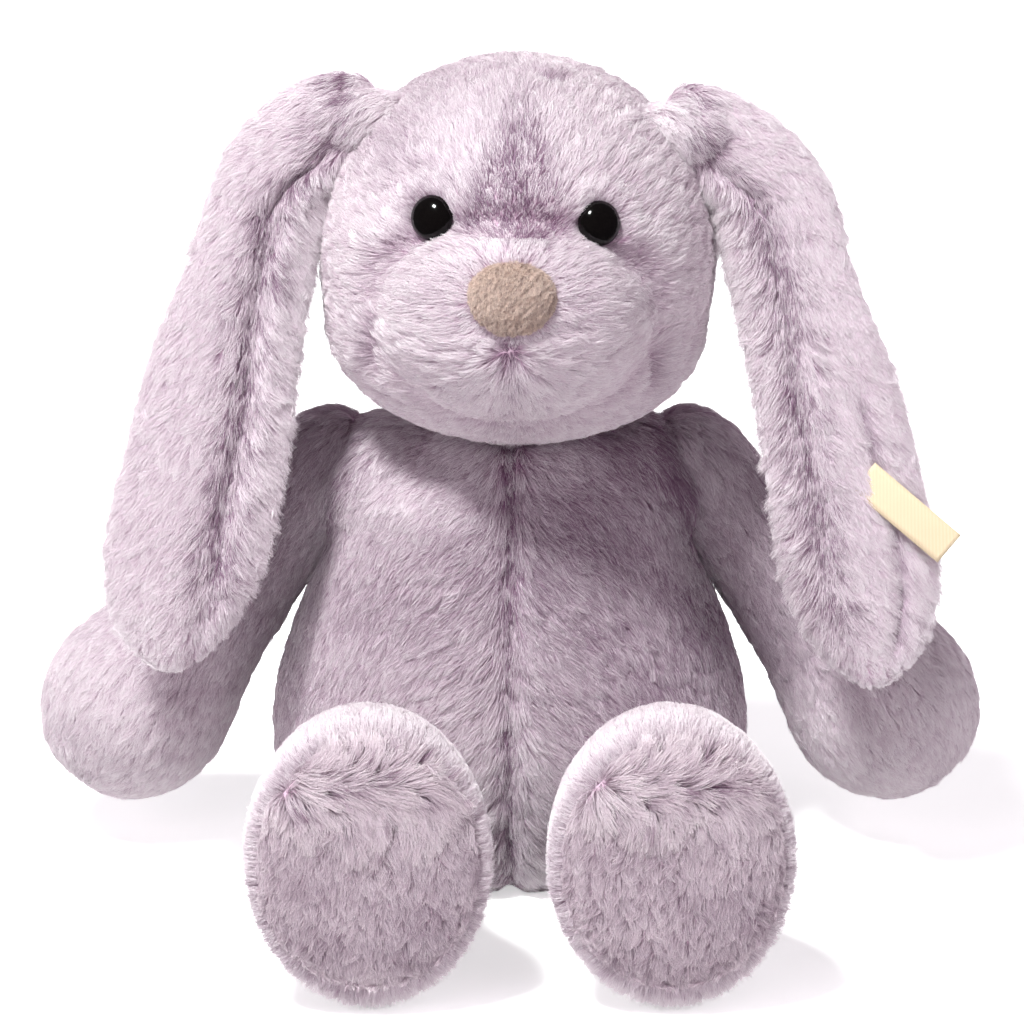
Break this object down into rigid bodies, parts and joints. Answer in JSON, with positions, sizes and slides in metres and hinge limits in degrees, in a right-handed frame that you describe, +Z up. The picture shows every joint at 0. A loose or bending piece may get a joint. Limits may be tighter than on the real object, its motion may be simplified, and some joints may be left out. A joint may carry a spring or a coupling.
{
  "type": "stuffed bunny rabbit",
  "caption": "Seated soft plush bunny with long drooping ears, round muzzle, arms out to the sides and big oval foot soles; head, ears, arms and legs move.",
  "frame": {"origin": "middle of the flat seat, on the floor", "axes": "+Z up, the bunny faces -Y, its own left side is at +X"},
  "size_m": [0.2458, 0.1832, 0.2135],
  "materials": {
    "lilac_plush": "long soft pile, lilac with pale tips",
    "sole_plush": "short flat pile, greyish lilac",
    "nose_velour": "short dense beige pile",
    "eye_plastic": "polished black dome",
    "washer_plastic": "moulded, natural white",
    "stuffing": "loose white polyester fibre",
    "pouch_cloth": "plain woven cloth",
    "label_ribbon": "plain folded woven ribbon"
  },
  "bodies": {
    "head": {"face_panel_left": "lilac_plush", "head_back_panel_left": "lilac_plush", "muzzle_panel_left": "lilac_plush", "eye_left": "eye_plastic", "eye_washer_left": "washer_plastic", "face_panel_right": "lilac_plush", "head_back_panel_right": "lilac_plush", "muzzle_panel_right": "lilac_plush", "eye_right": "eye_plastic", "eye_washer_right": "washer_plastic", "nose_pad": "nose_velour", "head_stuffing": "stuffing"},
    "neck": {"neck_stuffing": "stuffing"},
    "torso": {"chest_panel_left": "lilac_plush", "back_panel_left": "lilac_plush", "chest_panel_right": "lilac_plush", "back_panel_right": "lilac_plush", "seat_panel": "sole_plush", "body_stuffing": "stuffing", "pellet_pouch": "pouch_cloth", "tail_cover": "lilac_plush", "tail_stuffing": "stuffing"},
    "left_ear": {"left_ear_front_panel": "lilac_plush", "left_ear_back_panel": "lilac_plush"},
    "left_arm": {"left_arm_front_panel": "lilac_plush", "left_arm_back_panel": "lilac_plush", "left_arm_stuffing": "stuffing"},
    "left_leg": {"left_leg_inner_panel": "lilac_plush", "left_leg_outer_panel": "lilac_plush", "left_leg_stuffing": "stuffing", "left_sole_panel": "sole_plush"},
    "right_ear": {"right_ear_front_panel": "lilac_plush", "right_ear_back_panel": "lilac_plush"},
    "right_arm": {"right_arm_front_panel": "lilac_plush", "right_arm_back_panel": "lilac_plush", "right_arm_stuffing": "stuffing"},
    "right_leg": {"right_leg_inner_panel": "lilac_plush", "right_leg_outer_panel": "lilac_plush", "right_leg_stuffing": "stuffing", "right_sole_panel": "sole_plush"},
    "ear_label": {"ear_label": "label_ribbon"}
  },
  "joints": [
    {"name": "head_turn", "type": "hinge", "parent": "torso", "child": "neck", "pos_m": [0.002, -0.003, 0.117], "axis": [0, 0, 1], "range_deg": [-8, 12]},
    {"name": "head_nod", "type": "hinge", "parent": "neck", "child": "head", "pos_m": [0.002, -0.003, 0.117], "axis": [1, 0, 0], "range_deg": [-10, 12]},
    {"name": "left_ear_lift", "type": "hinge", "parent": "head", "child": "left_ear", "pos_m": [0.04879, -0.01139, 0.19312], "axis": [-0.0229, -0.9779, 0.2078], "range_deg": [0, 110]},
    {"name": "right_ear_lift", "type": "hinge", "parent": "head", "child": "right_ear", "pos_m": [-0.04313, -0.00866, 0.19585], "axis": [0.0229, 0.9779, -0.2078], "range_deg": [0, 110]},
    {"name": "left_arm_raise", "type": "hinge", "parent": "torso", "child": "left_arm", "pos_m": [0.0468, 0.008, 0.102], "axis": [0, -1, 0], "range_deg": [0, 95]},
    {"name": "right_arm_raise", "type": "hinge", "parent": "torso", "child": "right_arm", "pos_m": [-0.0468, 0.008, 0.102], "axis": [0, 1, 0], "range_deg": [0, 95]},
    {"name": "left_leg_swing", "type": "hinge", "parent": "torso", "child": "left_leg", "pos_m": [0.035, -0.046, 0.0275], "axis": [-1, 0, 0], "range_deg": [-55, 30]},
    {"name": "right_leg_swing", "type": "hinge", "parent": "torso", "child": "right_leg", "pos_m": [-0.035, -0.046, 0.0275], "axis": [-1, 0, 0], "range_deg": [-55, 30]},
    {"name": "label_flap", "type": "hinge", "parent": "left_ear", "child": "ear_label", "pos_m": [0.08572, -0.03442, 0.109], "axis": [-0.6428, -0.1448, -0.7522], "range_deg": [0, 120]}
  ]
}
